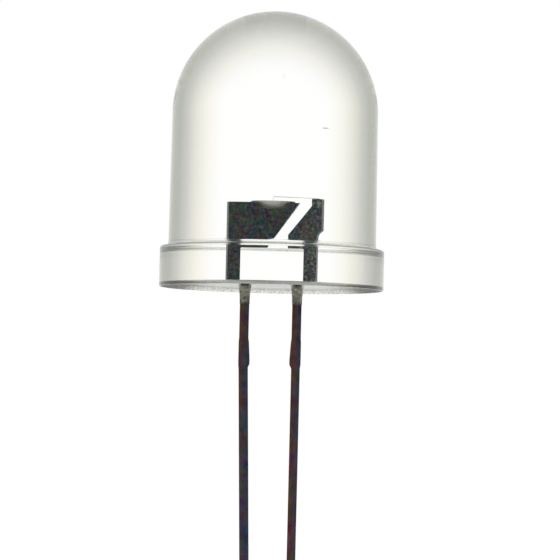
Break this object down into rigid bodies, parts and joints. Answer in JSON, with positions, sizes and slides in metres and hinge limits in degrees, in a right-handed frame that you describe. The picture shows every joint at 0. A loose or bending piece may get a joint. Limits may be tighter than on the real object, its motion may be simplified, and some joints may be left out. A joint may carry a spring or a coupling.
{
  "type": "through-hole led",
  "caption": "Clear domed light-emitting diode with a foot flange, long square leads and a cupped lead frame seen through the resin.",
  "frame": {"origin": "centre of the flange's underside, the face that seats on a board", "axes": "+Z along the optical axis towards the dome; +X from the cathode lead to the anode lead; Y through the thickness of the lead frame"},
  "size_m": [0.011, 0.0108, 0.0405],
  "materials": {
    "clear_resin": "water-clear cast epoxy, smooth from the mould, with a fine grain on its cast underside",
    "lead_steel": "plated steel strip, tarnished dark brown, stamped edges",
    "die": "diced semiconductor, satin",
    "cement": "silver-filled epoxy cement, matt",
    "gold_wire": "drawn fine wire, bright"
  },
  "bodies": {
    "root": {"lens_body": "clear_resin", "cathode_lead": "lead_steel", "anode_lead": "lead_steel", "led_die": "die", "die_attach": "cement", "bond_wire": "gold_wire"}
  },
  "joints": []
}
